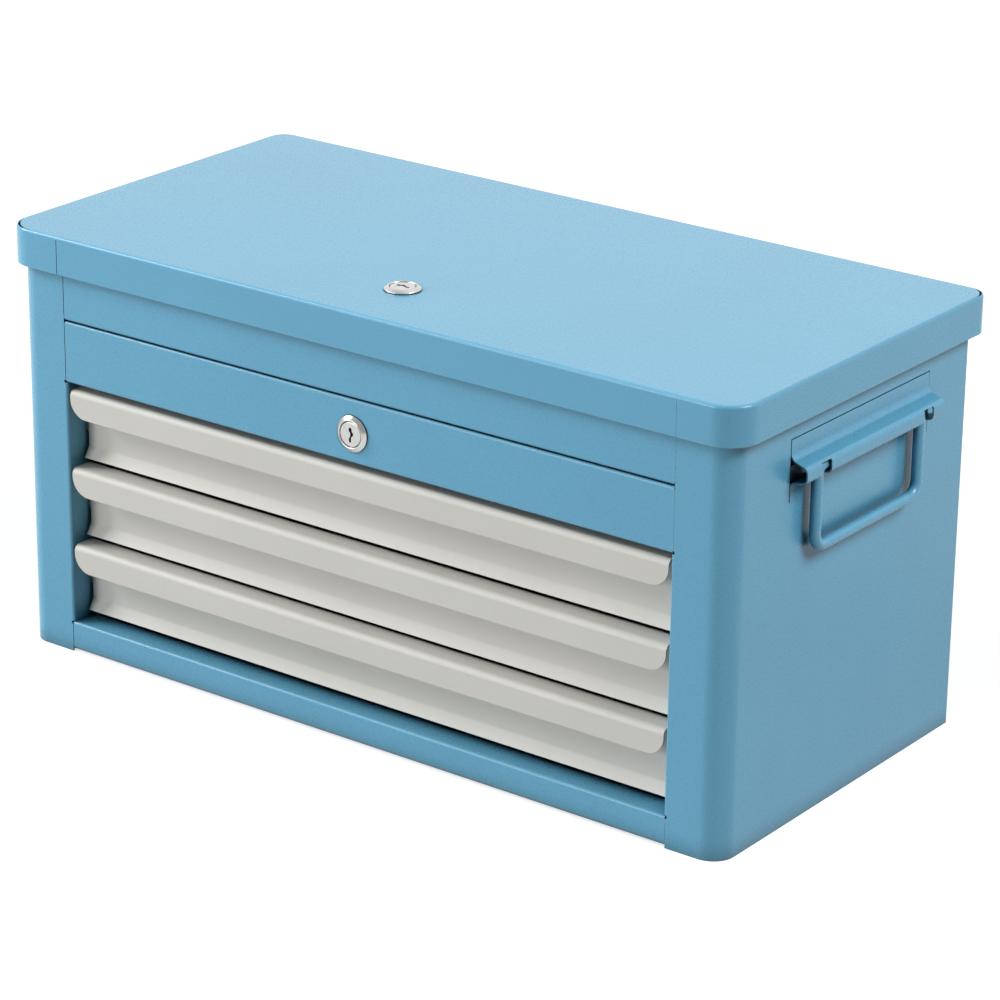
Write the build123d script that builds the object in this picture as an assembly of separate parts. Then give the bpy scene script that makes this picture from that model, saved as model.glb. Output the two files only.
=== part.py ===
"""Portable steel tool box: a top well under a hinged lid, three drawers below, a bail handle at each end.

Frame: the origin is on the surface the box stands on, below the middle of its outline.
+X is to the right seen from the drawer side, -Y is the drawer side and +Z is up. Sizes are in millimetres.
"""

from build123d import *
from math import sin, cos, radians, sqrt
import os

os.makedirs("parts", exist_ok=True)

# ---------------------------------------------------------------- driving sizes
# Body and lid
body_width = 540.0
body_depth = 254.0
overall_height = 281.0
sheet = 1.0                      # painted steel sheet of the body, the lid and the drawers
bend = 1.8                       # outside radius of a sharp fold
body_corner_radius = 15.0        # rolled front corners
lid_side_overhang = 6.5
lid_front_overhang = 5.0
lid_back_overhang = 13.0
lid_skirt = 24.5
lid_front_radius = 20.0
lid_rear_radius = 12.0
lid_edge_radius = 2.2
lid_rest_gap = 0.3               # lid sheet above the rim of the body
rim_flange = 10.0
floor_flange = 12.0
corner_flange = 12.0             # upright flanges of the rear wall
well_lip = 10.0
liner_flange = 14.0
liner_notch = 12.0               # corner cut from the liner flanges at the front

# Front frame
post_face = 38.2                 # from the side of the body to the seam beside the fascias
return_setback = 1.3             # the opening is this much narrower than the seams
return_depth = 15.0
rail_height = 18.5
rail_shelf = 18.0
lock_rail_height = 40.4
fascia_seam = 0.8
fascia_shelf = 12.0
open_seam = 0.5                  # seams at the left end of the front sheets
butt_gap = 0.15                  # sheets drawn tight against each other
lap_tab = 14.0                   # joggled tab of a fascia behind a post
relief_radius = 1.1

# Drawers
drawer_count = 3
drawer_front_height = 49.2
drawer_gap = 3.3                 # between one drawer front and the pull below it
gap_over_top_drawer = 4.9
gap_under_bottom_drawer = 4.6
drawer_side_gap = 1.7
pull_setback = 0.4
pull_height = 17.9
pull_bend = 4.0
pull_corner = 12.5
recess_depth = 16.6
flare_height = 7.4
flare_out = 4.5
box_floor_lift = 1.5
box_side_drop = 6.0              # top edge of the drawer box below the top of its pull
box_rear_space = 21.9            # between the drawer box and the rear wall
slide_space = 12.0               # between the drawer box and the liner
drawer_travel = 160.0

# Slides
runner_sheet = 1.2
runner_height = 14.0
runner_reach = 9.0
slide_clearance = 0.3
rail_end_gap = 0.5
slide_drop = 26.0                # middle of the slide below the top of the pull
stop_lug_reach = 4.8
stop_lug_length = 3.0
stop_lug_height = 6.0
stop_tab = 1.5
stop_tab_gap = 1.8

# Bail handle and the tab lanced from the side panel that carries it
handle_setback = 135.0           # behind the front of the body
bail_pivot_drop = 57.0           # below the top of the lid
tab_length = 150.0
tab_foot_drop = 18.0             # the next four are measured from the pivot of the bail
tab_top_rise = 19.8
hump_low_drop = 7.0
hump_high_rise = 8.5
slit = 0.9
rear_slit = 0.35
hump_reach = 11.5
hump_low_rise = 2.5
hump_high_fall = 4.0
bail_rod = 7.0
bail_span = 112.0
bail_drop = 50.2
bail_corner = 9.0
bail_end = 18.0
bail_pivot_out = 6.0
bail_slot = 10.4
bail_slot_shift = 1.5
bail_slot_clear = 0.6

# Hinges
hinge_inset = 105.0              # middle of a hinge from the side of the body
hinge_length = 60.0
hinge_leaf = 1.2
hinge_barrel = 6.4
hinge_pin = 4.0
pin_clearance = 0.05
pin_stand_out = 1.0
knuckle_gap = 0.4
hinge_axis_drop = 24.0           # below the top of the lid
hinge_leaf_drop = 26.0
hinge_leaf_rise = 17.0
rivet_shank = 3.2
rivet_head = 6.4
rivet_head_height = 1.6
rivet_tail = 1.2
rivet_spacing = 36.0
rivet_drop = 16.0

# Cam locks
lock_bezel = 23.0
bezel_height = 2.5
bezel_bevel = 1.6
lock_shank = 18.6
shank_length = 16.0
plug_face = 16.0
plug_sink = 0.5                  # face of the plug below the bezel
plug_face_thickness = 1.1
plug_shank = 12.0
lock_clearance = 0.05
hole_clearance = 0.2
keyway_length = 8.0
keyway_width = 2.0
keyway_depth = 5.0
nut_flats = 22.0
nut_height = 4.0
stub = 6.0
plug_stand_out = 0.2             # rear of the plug behind the shank of the barrel
front_lock_lift = 18.8           # above the lower edge of the lock rail
top_lock_setback = 53.0          # behind the front of the lid
tongue_length = 40.0
tongue_width = 14.0
tongue_sheet = 2.0
screw_head = 9.0
screw_head_height = 2.4
strike_clearance = 0.6
strike_width = 40.0
strike_depth = 24.0

# Drawer locking gear
drive_rod = 6.0
collar = 13.0
collar_length = 12.0
crank_throw = 7.0
crank_disc = 24.0
crank_pin = 5.0
lock_bar_sheet = 1.5
lock_bar_width = 20.0
lock_bar_head = 30.0
lock_bar_back_gap = 1.0
finger_reach = 13.5
finger_rise = 10.0
finger_width = 12.0
guide_height = 8.0
catch_drop = 14.0                # catch tongue below the top of the pull
catch_gap = 1.5                  # between a finger tip and the catch above it, unlocked
catch_sheet = 1.2
catch_slot_clear = 1.5

# ---------------------------------------------------------------- derived places
half_width = body_width / 2
lid_width = body_width + 2 * lid_side_overhang
lid_depth = body_depth + lid_front_overhang + lid_back_overhang
lid_front_y = -lid_depth / 2
front_y = lid_front_y + lid_front_overhang
back_y = front_y + body_depth
inner_x = half_width - sheet
inner_back_y = back_y - sheet
lid_underside_z = overall_height - sheet
rim_z = lid_underside_z - lid_rest_gap
skirt_z = overall_height - lid_skirt

post_edge_x = half_width - post_face
opening_x = post_edge_x - return_setback
liner_x = opening_x + sheet
floor_z = 2 * sheet
opening_low_z = floor_z + rail_height
drawer_pitch = drawer_front_height + drawer_gap
opening_high_z = (opening_low_z + gap_under_bottom_drawer + drawer_count * drawer_pitch
                  - drawer_gap + gap_over_top_drawer)
lock_rail_top_z = opening_high_z + lock_rail_height
fascia_low_z = lock_rail_top_z + fascia_seam
well_z = fascia_low_z + sheet

drawer_half = opening_x - drawer_side_gap
box_half = liner_x - slide_space
recess_rear_y = front_y + recess_depth + sheet
box_back_y = inner_back_y - box_rear_space
slide_front_y = recess_rear_y + rail_end_gap
runner_back_y = inner_back_y - 3 * sheet

handle_y = front_y + handle_setback
bail_pivot_z = overall_height - bail_pivot_drop
tab_foot_z = bail_pivot_z - tab_foot_drop
tab_top_z = bail_pivot_z + tab_top_rise
hump_low_z = bail_pivot_z - hump_low_drop
hump_high_z = bail_pivot_z + hump_high_rise

axis_y = back_y + hinge_barrel / 2
hinge_axis_z = overall_height - hinge_axis_drop
hinge_x = half_width - hinge_inset
lid_rear_inner_y = lid_depth / 2 - sheet

plug_rear = -shank_length - plug_stand_out
front_lock_z = opening_high_z + front_lock_lift
top_lock_y = lid_front_y + top_lock_setback

bar_back_y = inner_back_y - lock_bar_back_gap
bar_front_y = bar_back_y - lock_bar_sheet
lock_bar_lift = crank_throw * sqrt(2)


def drawer_top_z(number):
    """Top of the pull of drawer 1 (upper) to drawer 3 (lower)."""
    return opening_high_z - gap_over_top_drawer - (number - 1) * drawer_pitch


# ---------------------------------------------------------------- shared shapes
standing = (Align.CENTER, Align.CENTER, Align.MIN)


def block(x_range, y_range, z_range):
    """Square-edged solid between two values on each axis."""
    ranges = (x_range, y_range, z_range)
    size = [max(pair) - min(pair) for pair in ranges]
    corner = [min(pair) for pair in ranges]
    return Pos(*corner) * Box(*size, align=(Align.MIN, Align.MIN, Align.MIN))


def rod(start, direction, radius, length):
    """Round bar from a point along a direction."""
    return Solid.make_cylinder(radius, length, Plane(origin=start, z_dir=direction))


def folded(points, bends, thickness, plane, start, length, side=Side.RIGHT):
    """Folded sheet: `points` run along one skin, the thickness lies to one side, and the fold is drawn out."""
    skin = FilletPolyline(*points, radius=bends)
    section = make_face(offset(skin, amount=thickness, side=side))
    return extrude(plane.offset(start) * section, amount=length)


def across(points, bends, half_length, thickness=sheet, side=Side.RIGHT):
    """Folded sheet drawn out along X, equally to both sides of the middle."""
    return folded(points, bends, thickness, Plane.YZ, -half_length, 2 * half_length, side)


def both_sides(make_right, name):
    """The right-hand piece and its mirror image."""
    right = make_right()
    return {name + "_right": right, name + "_left": mirror(right, about=Plane.YZ)}


def rounded_plate(half_x, low_y, high_y, front_radius, rear_radius, low_z, height):
    """Plate with one corner radius at the front and another at the rear."""
    centre_y = (low_y + high_y) / 2
    outline = Pos(0, centre_y) * Rectangle(2 * half_x, high_y - low_y)
    corners = outline.vertices().sort_by(Axis.Y)
    outline = fillet(corners[:2], front_radius)
    corners = [v for v in outline.vertices() if abs(v.Y - high_y) < 0.001]
    outline = fillet(corners, rear_radius)
    return extrude(Pos(0, 0, low_z) * outline, amount=height)


# ---------------------------------------------------------------- body
def side_panel():
    """Side wall rolled round the front corner into the post, with its edge flanges and the handle tab."""
    wall_path = [(half_width, back_y), (half_width, front_y), (post_edge_x, front_y)]
    panel = folded(wall_path, body_corner_radius, sheet, Plane.XY, 0, rim_z)

    return_path = [
        (post_edge_x + 1, front_y),
        (opening_x, front_y),
        (opening_x, front_y + return_depth),
    ]
    panel += folded(return_path, bend, sheet, Plane.XY, opening_low_z, opening_high_z - opening_low_z)

    flange_y = (front_y + body_corner_radius + 2, inner_back_y)
    panel += block((half_width - floor_flange, half_width - sheet / 2), flange_y, (0, sheet))
    panel += block((half_width - rim_flange, half_width - sheet / 2), flange_y, (rim_z - sheet, rim_z))

    for z in (opening_low_z - relief_radius / 2, opening_high_z + relief_radius / 2):
        panel -= rod((post_edge_x, front_y - 1, z), (0, 1, 0), relief_radius, 3 * sheet)

    window_y = (handle_y - tab_length / 2 - slit, handle_y + tab_length / 2 + rear_slit)
    panel -= block((inner_x - 1, half_width + 1), window_y, (tab_foot_z, tab_top_z + slit))
    return panel + handle_tab()


def handle_tab():
    """Lanced tab: flat foot, a hollow hump open at both ends, and a flat upper edge under the slit."""
    out_x = half_width + hump_reach
    skin = [
        (half_width, tab_foot_z - 1),
        (half_width, hump_low_z),
        (out_x, hump_low_z + hump_low_rise),
        (out_x, hump_high_z - hump_high_fall),
        (half_width, hump_high_z),
        (half_width, tab_top_z),
    ]
    start = -(handle_y + tab_length / 2)
    tab = folded(skin, [1.6, 3.4, 4.0, 5.0], sheet, Plane.XZ, start, tab_length, side=Side.LEFT)
    slot_z = (hump_low_z - 2, bail_pivot_z + bail_rod / 2 + bail_slot_clear)
    for leg_y in (handle_y - bail_span / 2, handle_y + bail_span / 2):
        slot_y = (leg_y + bail_slot_shift - bail_slot / 2, leg_y + bail_slot_shift + bail_slot / 2)
        tab -= block((half_width + 1.2, out_x + 1), slot_y, slot_z)
    return tab


def back_panel():
    """Rear wall between the side panels, with flanges folded forward along its four edges."""
    fold_y = back_y - sheet / 2
    rim_half = half_width - rim_flange - sheet
    panel = block((-inner_x, inner_x), (inner_back_y, back_y), (0, rim_z))
    panel += block((-rim_half, rim_half), (back_y - rim_flange, fold_y), (rim_z - sheet, rim_z))
    panel += block((-box_half, box_half), (back_y - floor_flange, fold_y), (floor_z, floor_z + sheet))
    below_well = (floor_z + corner_flange, well_z - corner_flange / 2)
    above_well = (well_z + corner_flange, rim_z - 2 * sheet)
    for z_range in (below_well, above_well):
        for x_range in ((-inner_x, -inner_x + sheet), (inner_x - sheet, inner_x)):
            panel += block(x_range, (back_y - corner_flange, fold_y), z_range)
    for x, z in hinge_rivet_places():
        panel -= rod((x, inner_back_y - 1, z), (0, 1, 0), rivet_shank / 2 + pin_clearance, 3 * sheet)
    return panel


def floor_pan():
    """Floor sheet lying on the bottom flanges of the side panels."""
    return rounded_plate(inner_x, front_y + 2 * sheet, inner_back_y, body_corner_radius, sheet / 2, sheet, sheet)


def front_member(low_z, high_z, low_shelf, high_shelf):
    """Channel across the front: a visible face, two shelves folded inward and a lap tab behind each post."""
    skin = [
        (front_y + low_shelf, low_z),
        (front_y, low_z),
        (front_y, high_z),
        (front_y + high_shelf, high_z),
    ]
    member = across(skin, bend, liner_x - 0.2)
    for sign, seam in ((-1, open_seam), (1, butt_gap)):
        face_x = (sign * (opening_x - 4), sign * (post_edge_x - seam))
        member += block(face_x, (front_y, front_y + sheet), (low_z + bend, high_z - bend))
        tab_x = (sign * (opening_x - 4), sign * (post_edge_x + lap_tab))
        member += block(tab_x, (front_y + sheet, front_y + 2 * sheet), (low_z + 3, high_z - 3))
    return member


def bottom_rail():
    """Rail under the drawers; its upper shelf is the sill of the opening."""
    return front_member(floor_z, opening_low_z, fascia_shelf, rail_shelf)


def lock_rail():
    """Rail over the drawers with the hole for their lock."""
    rail = front_member(opening_high_z, lock_rail_top_z, rail_shelf, fascia_shelf)
    return rail - rod((0, front_y - 1, front_lock_z), (0, 1, 0), lock_shank / 2 + hole_clearance, 3 * sheet)


def upper_fascia():
    """Front wall of the top well; its upper shelf is the front of the rim."""
    return front_member(fascia_low_z, rim_z, fascia_shelf, rim_flange)


def well_floor():
    """Floor of the top well, resting on the fascia and the liners, with a lip turned down along each side wall."""
    lip_y = (front_y + body_corner_radius + 4 * sheet, back_y - corner_flange - sheet)
    tray = rounded_plate(inner_x, front_y + 2 * sheet, inner_back_y, body_corner_radius, sheet / 2, well_z, sheet)
    for lip_x in ((-inner_x, -inner_x + sheet), (inner_x - sheet, inner_x)):
        tray += block(lip_x, lip_y, (well_z + sheet - well_lip, well_z + sheet))
    return tray


def inner_panel():
    """Liner that carries the runners: flanged to the floor, the rear wall and the floor of the well."""
    front = front_y + 3 * sheet
    flange_x = (liner_x, liner_x + liner_flange)
    flange_y = (front + liner_notch, inner_back_y)
    panel = block((liner_x, liner_x + sheet), (front, inner_back_y), (floor_z, well_z))
    panel += block(flange_x, flange_y, (floor_z, floor_z + sheet))
    panel += block(flange_x, (inner_back_y - sheet, inner_back_y), (floor_z, well_z - sheet))
    panel += block((liner_x, inner_x - sheet - butt_gap), flange_y, (well_z - sheet, well_z))
    return panel


def strike_plate():
    """Angle welded behind the upper fascia; the tongue of the lid lock turns under its shelf."""
    shelf_z = overall_height + plug_rear + strike_clearance
    wall_y = front_y + sheet
    skin = [(wall_y, rim_z - sheet - bend), (wall_y, shelf_z), (wall_y + strike_depth, shelf_z)]
    return across(skin, bend, strike_width / 2, thickness=catch_sheet, side=Side.LEFT)


# ---------------------------------------------------------------- drawers
def drawer_front(number):
    """Front folded from one sheet: a flap pull, a flat top, a set-back face and a flared lower edge."""
    top = drawer_top_z(number)
    flap_y = front_y + pull_setback
    flap_low = top - pull_height
    skin = [
        (flap_y, flap_low),
        (flap_y, top),
        (recess_rear_y, top),
        (recess_rear_y, top - drawer_front_height + flare_height),
        (recess_rear_y - flare_out, top - drawer_front_height),
    ]
    front = across(skin, [pull_bend, bend, 3.0], drawer_half)
    ends = [
        edge
        for edge in front.edges().filter_by(Axis.Y)
        if abs(edge.center().Z - flap_low) < 0.01 and edge.center().Y < flap_y + sheet
    ]
    return fillet(ends, pull_corner)


def drawer_box(number):
    """Open-topped box folded from sheet, welded to the back of the drawer front."""
    top = drawer_top_z(number)
    low_z = top - drawer_front_height + box_floor_lift
    high_z = top - box_side_drop
    outside = block((-box_half, box_half), (recess_rear_y, box_back_y), (low_z, high_z))
    floor_edges = outside.edges().group_by(Axis.Z)[0]
    outside = fillet(floor_edges, bend)
    inside = block(
        (-box_half + sheet, box_half - sheet),
        (recess_rear_y + sheet, box_back_y - sheet),
        (low_z + sheet, high_z + 1),
    )
    inside = fillet(inside.edges().group_by(Axis.Z)[0], bend - sheet)
    return outside - inside


def runner(number):
    """Channel on the liner, open towards the drawer, with the lug that stops the drawer."""
    middle = drawer_top_z(number) - slide_drop
    half = runner_height / 2
    skin = [
        (liner_x - runner_reach, middle - half),
        (liner_x, middle - half),
        (liner_x, middle + half),
        (liner_x - runner_reach, middle + half),
    ]
    length = runner_back_y - slide_front_y
    channel = folded(skin, bend, runner_sheet, Plane.XZ, -runner_back_y, length, side=Side.LEFT)
    lug_back_y = box_back_y - stop_tab - drawer_travel - slide_clearance
    lug_x = (liner_x - runner_sheet - stop_lug_reach, liner_x - runner_sheet / 2)
    lug_z = (middle - stop_lug_height / 2, middle + stop_lug_height / 2)
    return channel + block(lug_x, (lug_back_y - stop_lug_length, lug_back_y), lug_z)


def drawer_rail(number):
    """Channel on the side of the drawer box that slides in the runner, closed by a stop tab at its rear end."""
    middle = drawer_top_z(number) - slide_drop
    half = runner_height / 2 - runner_sheet - slide_clearance
    reach_x = liner_x - runner_sheet - rail_end_gap
    skin = [(reach_x, middle - half), (box_half, middle - half), (box_half, middle + half), (reach_x, middle + half)]
    length = box_back_y - slide_front_y
    channel = folded(skin, bend, sheet, Plane.XZ, -box_back_y, length, side=Side.RIGHT)
    tab_x = (box_half + sheet / 2, reach_x - stop_tab_gap + rail_end_gap)
    tab_z = (middle - half + sheet / 2, middle + half - sheet / 2)
    return channel + block(tab_x, (box_back_y - stop_tab, box_back_y), tab_z)


def drawer_catch(number):
    """Angle on the rear wall of a drawer box, with the slot that a finger of the lock bar enters."""
    catch_z = drawer_top_z(number) - catch_drop
    skin = [
        (box_back_y, catch_z - 12),
        (box_back_y, catch_z + catch_sheet),
        (bar_front_y - finger_reach + 6, catch_z + catch_sheet),
    ]
    angle = across(skin, [bend], 14, thickness=catch_sheet)
    tip_y = bar_front_y - finger_reach
    slot_x = finger_width / 2 + 2
    slot_y = (tip_y - catch_slot_clear, tip_y + lock_bar_sheet + catch_slot_clear)
    return angle - block((-slot_x, slot_x), slot_y, (catch_z - 1, catch_z + catch_sheet + 1))


# ---------------------------------------------------------------- lid and hinges
def lid_shell():
    """Lid sheet with its skirt; the ears of the side skirts are rolled round the corners and butt at the front."""
    half_x = lid_width / 2
    rear_y = lid_depth / 2
    outside = rounded_plate(half_x, lid_front_y, rear_y, lid_front_radius, lid_rear_radius, skirt_z, lid_skirt)
    outside = fillet(outside.edges().group_by(Axis.Z)[-1], lid_edge_radius)
    inside = lid_core(lid_front_radius - sheet, lid_rear_radius - sheet, skirt_z - 1, lid_skirt - sheet + 1)
    inside = fillet(inside.edges().group_by(Axis.Z)[-1], lid_edge_radius - sheet)
    shell = outside - inside

    # Open crescents where the corner of the top sheet stands back from the rolled ear.
    wide = lid_core(lid_front_radius - sheet, lid_rear_radius - sheet, lid_underside_z - 1, 3)
    narrow = lid_core(lid_front_radius + 2.6, lid_rear_radius + 3.4, lid_underside_z - 2, 5)
    crescents = wide - narrow
    front_left = block((-half_x, 0), (lid_front_y, 0), (skirt_z, overall_height + 1))
    rear = block((-half_x, half_x), (0, rear_y), (skirt_z, overall_height + 1))
    shell -= crescents & (front_left + rear)

    # Butt seams of the front skirt, the left one open and the right one drawn tight.
    for seam_x, seam_width in ((-post_edge_x, open_seam), (post_edge_x + 2.7, butt_gap)):
        seam_z = (skirt_z - 1, overall_height - lid_edge_radius)
        shell -= block((seam_x - seam_width / 2, seam_x + seam_width / 2), (lid_front_y - 1, lid_front_y + 3), seam_z)

    lock_hole = rod((0, top_lock_y, lid_underside_z - 1), (0, 0, 1), lock_shank / 2 + hole_clearance, 3)
    return shell - lock_hole


def lid_core(front_radius, rear_radius, low_z, height):
    """Solid that fills the lid inside its skirt, with corner radii of its own."""
    half_x = lid_width / 2 - sheet
    return rounded_plate(half_x, lid_front_y + sheet, lid_rear_inner_y, front_radius, rear_radius, low_z, height)


def hinge_rivet_places():
    """(x, z) of every hinge rivet in the rear wall."""
    offsets = (-rivet_spacing / 2, rivet_spacing / 2)
    return [(side * hinge_x + step, hinge_axis_z - rivet_drop) for side in (-1, 1) for step in offsets]


def knuckle_ends():
    """X places, from the left end of a hinge, where one knuckle ends and the next begins."""
    third = hinge_length / 3
    return third - knuckle_gap / 2, third + knuckle_gap / 2, 2 * third - knuckle_gap / 2, 2 * third + knuckle_gap / 2


def barrel(x_range):
    """One knuckle: a tube round the hinge axis."""
    length = x_range[1] - x_range[0]
    start = (x_range[0], axis_y, hinge_axis_z)
    bore = hinge_pin / 2 + pin_clearance
    return rod(start, (1, 0, 0), hinge_barrel / 2, length) - rod(start, (1, 0, 0), bore, length)


def hinge_body_leaf():
    """Leaf riveted to the rear wall, with the two outer knuckles."""
    left = hinge_x - hinge_length / 2
    right = hinge_x + hinge_length / 2
    end_1, start_2, end_2, start_3 = (left + place for place in knuckle_ends())
    low_z = hinge_axis_z - hinge_leaf_drop
    leaf = block((left, right), (back_y, back_y + hinge_leaf), (low_z, hinge_axis_z))
    corners = [edge for edge in leaf.edges().filter_by(Axis.Y) if edge.center().Z < low_z + 1]
    leaf = fillet(corners, 3)
    leaf -= rod((left - 1, axis_y, hinge_axis_z), (1, 0, 0), hinge_pin / 2 + pin_clearance, hinge_length + 2)
    clear_z = hinge_axis_z - hinge_barrel / 2 - knuckle_gap
    leaf -= block((end_1, start_3), (back_y - 1, axis_y + 5), (clear_z, hinge_axis_z + 5))
    leaf += barrel((left, end_1)) + barrel((start_3, right))
    for x, z in hinge_rivet_places():
        leaf -= rod((x, back_y - 1, z), (0, 1, 0), rivet_shank / 2 + pin_clearance, hinge_leaf + 2)
    return leaf


def hinge_lid_leaf():
    """Cranked leaf welded inside the rear skirt of the lid, with the middle knuckle."""
    left = hinge_x - hinge_length / 2
    end_1, start_2, end_2, start_3 = (left + place for place in knuckle_ends())
    plate_low_z = hinge_axis_z + hinge_barrel / 2 - hinge_leaf
    skin = [
        (axis_y, plate_low_z),
        (lid_rear_inner_y, plate_low_z),
        (lid_rear_inner_y, plate_low_z + hinge_leaf_rise),
    ]
    leaf = folded(skin, 2.5, hinge_leaf, Plane.YZ, left, hinge_length, side=Side.LEFT)
    clear_y = axis_y + hinge_barrel / 2 + knuckle_gap
    for x_range in ((left - 1, start_2), (end_2, left + hinge_length + 1)):
        leaf -= block(x_range, (axis_y - 1, clear_y), (plate_low_z - 1, plate_low_z + 3))
    leaf -= rod((left - 1, axis_y, hinge_axis_z), (1, 0, 0), hinge_pin / 2 + pin_clearance, hinge_length + 2)
    return leaf + barrel((start_2, end_2))


def hinge_pin_piece():
    """Plain wire pin through the three knuckles, standing out a little at each end."""
    start_x = hinge_x - hinge_length / 2 - pin_stand_out
    return rod((start_x, axis_y, hinge_axis_z), (1, 0, 0), hinge_pin / 2, hinge_length + 2 * pin_stand_out)


def hinge_rivets():
    """Rivets of both hinges: upset tail inside the rear wall, shank, and head outside the leaf."""
    rivets = []
    for x, z in hinge_rivet_places():
        tail = rod((x, inner_back_y - rivet_tail, z), (0, 1, 0), rivet_shank * 0.75, rivet_tail)
        shank = rod((x, inner_back_y - rivet_tail, z), (0, 1, 0), rivet_shank / 2, rivet_tail + sheet + hinge_leaf)
        head = rod((x, back_y + hinge_leaf, z), (0, 1, 0), rivet_head / 2, rivet_head_height)
        rivets.append((tail + shank + head).solid())
    return Compound(children=rivets)


# ---------------------------------------------------------------- locks
def lock_plane(kind):
    """Frame of a lock: origin on the outer face of its panel, +Z out of the panel."""
    if kind == "front":
        return Plane(origin=(0, front_y, front_lock_z), x_dir=(1, 0, 0), z_dir=(0, -1, 0))
    return Plane(origin=(0, top_lock_y, overall_height), x_dir=(1, 0, 0), z_dir=(0, 0, 1))


def lock_barrel():
    """Bezel and threaded shank in one piece, turned from the outline of one half and bored for the plug."""
    mouth_radius = plug_face / 2 + lock_clearance
    bore_radius = plug_shank / 2 + lock_clearance
    seat_z = bezel_height - plug_sink - plug_face_thickness
    outline = [
        (bore_radius, -shank_length),
        (lock_shank / 2, -shank_length),
        (lock_shank / 2, 0),
        (lock_bezel / 2, 0),
        (lock_bezel / 2, bezel_height - bezel_bevel),
        (lock_bezel / 2 - bezel_bevel, bezel_height),
        (mouth_radius, bezel_height),
        (mouth_radius, seat_z),
        (bore_radius, seat_z),
    ]
    return revolve(Plane.XZ * make_face(Polyline(*outline, close=True)), Axis.Z)


def lock_plug():
    """Key plug: a face with the keyway, a shank, and a square stub for what the lock drives."""
    face_z = bezel_height - plug_sink
    seat_z = face_z - plug_face_thickness
    outline = [
        (0, plug_rear),
        (plug_shank / 2, plug_rear),
        (plug_shank / 2, seat_z),
        (plug_face / 2, seat_z),
        (plug_face / 2, face_z),
        (0, face_z),
    ]
    plug = revolve(Plane.XZ * make_face(Polyline(*outline, close=True)), Axis.Z)
    plug += Pos(0, 0, plug_rear - tongue_sheet) * Box(stub, stub, tongue_sheet, align=standing)
    keyway = Box(keyway_width, keyway_length, keyway_depth, align=standing)
    return plug - Pos(0, 0, face_z - keyway_depth) * keyway


def lock_nut():
    """Hexagon nut that clamps the shank behind the panel."""
    outline = RegularPolygon(nut_flats / 2, 6, major_radius=False)
    hole = Circle(lock_shank / 2 + lock_clearance)
    return Pos(0, 0, -sheet - nut_height) * extrude(outline - hole, amount=nut_height)


def lock_screw():
    """Pan-head screw that holds the tongue on the stub of the plug."""
    head = Cylinder(screw_head / 2, screw_head_height, align=standing)
    head -= Box(tongue_sheet / 2, screw_head + 1, screw_head_height)
    return Pos(0, 0, plug_rear - tongue_sheet - screw_head_height) * head


def lock_tongue():
    """Flat tongue on the plug of the lid lock, pointing sideways when the lid is free."""
    hub = Circle(tongue_width / 2 + 2)
    arm = Pos(tongue_length / 2, 0) * Rectangle(tongue_length, tongue_width)
    arm = fillet(arm.vertices().group_by(Axis.X)[-1], 4)
    hole = Rectangle(stub + 2 * lock_clearance, stub + 2 * lock_clearance)
    plate = extrude(hub + arm - hole, amount=tongue_sheet)
    return Pos(0, 0, plug_rear - tongue_sheet) * plate


# ---------------------------------------------------------------- drawer locking gear
def drive_rod_piece():
    """Rod from the plug of the drawer lock to the rear: socket collar, rod, disc and crank pin."""
    collar_front = front_y - plug_rear
    piece = rod((0, collar_front, front_lock_z), (0, 1, 0), collar / 2, collar_length)
    half_hole = stub / 2 + lock_clearance
    socket_z = (front_lock_z - half_hole, front_lock_z + half_hole)
    piece -= block((-half_hole, half_hole), (collar_front - 1, collar_front + tongue_sheet + 0.5), socket_z)
    disc_back = bar_front_y - 6.5
    rod_start = collar_front + collar_length
    piece += rod((0, rod_start, front_lock_z), (0, 1, 0), drive_rod / 2, disc_back - rod_start)
    piece += rod((0, disc_back - 2, front_lock_z), (0, 1, 0), crank_disc / 2, 2)
    pin_x = crank_throw * cos(radians(-45))
    pin_z = front_lock_z + crank_throw * sin(radians(-45))
    return piece + rod((pin_x, disc_back, pin_z), (0, 1, 0), crank_pin / 2, bar_back_y + 0.4 - disc_back)


def rod_bearing():
    """Angle under the floor of the well that carries the rear end of the drive rod."""
    wall_y = bar_front_y - 22
    skin = [(wall_y, front_lock_z - 9), (wall_y, well_z), (wall_y + 14, well_z)]
    angle = across(skin, bend, 13, thickness=catch_sheet)
    return angle - rod((0, wall_y - 1, front_lock_z), (0, 1, 0), drive_rod / 2 + pin_clearance, 5)


def finger_low_z(number):
    """Underside of the finger of the lock bar for one drawer, unlocked."""
    return drawer_top_z(number) - catch_drop - catch_gap - finger_rise


def lock_bar():
    """Upright bar behind the drawers: a slotted head on the crank pin and one hooked finger for each drawer."""
    bar_y = (bar_front_y, bar_back_y)
    low_z = finger_low_z(drawer_count) - 12
    head_low = front_lock_z - crank_throw * cos(radians(45)) - crank_pin / 2 - 5
    head_high = front_lock_z
    bar = block((-lock_bar_width / 2, lock_bar_width / 2), bar_y, (low_z, head_low + 1))
    bar += block((-lock_bar_head / 2, lock_bar_head / 2), bar_y, (head_low, head_high))
    pin_x = (crank_throw * cos(radians(45)), crank_throw)
    pin_z = front_lock_z - crank_throw * sin(radians(45))
    slot_x = (pin_x[0] - crank_pin / 2 - 0.5, pin_x[1] + crank_pin / 2 + 0.5)
    slot_z = (pin_z - crank_pin / 2 - 0.5, pin_z + crank_pin / 2 + 0.5)
    bar -= block(slot_x, (bar_y[0] - 1, bar_y[1] + 1), slot_z)
    tip_y = bar_front_y - finger_reach
    for number in range(1, drawer_count + 1):
        finger_z = finger_low_z(number)
        skin = [(tip_y, finger_z + finger_rise), (tip_y, finger_z), (bar_front_y + 0.5, finger_z)]
        bar += across(skin, bend, finger_width / 2, thickness=lock_bar_sheet, side=Side.LEFT)
    return bar


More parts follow.
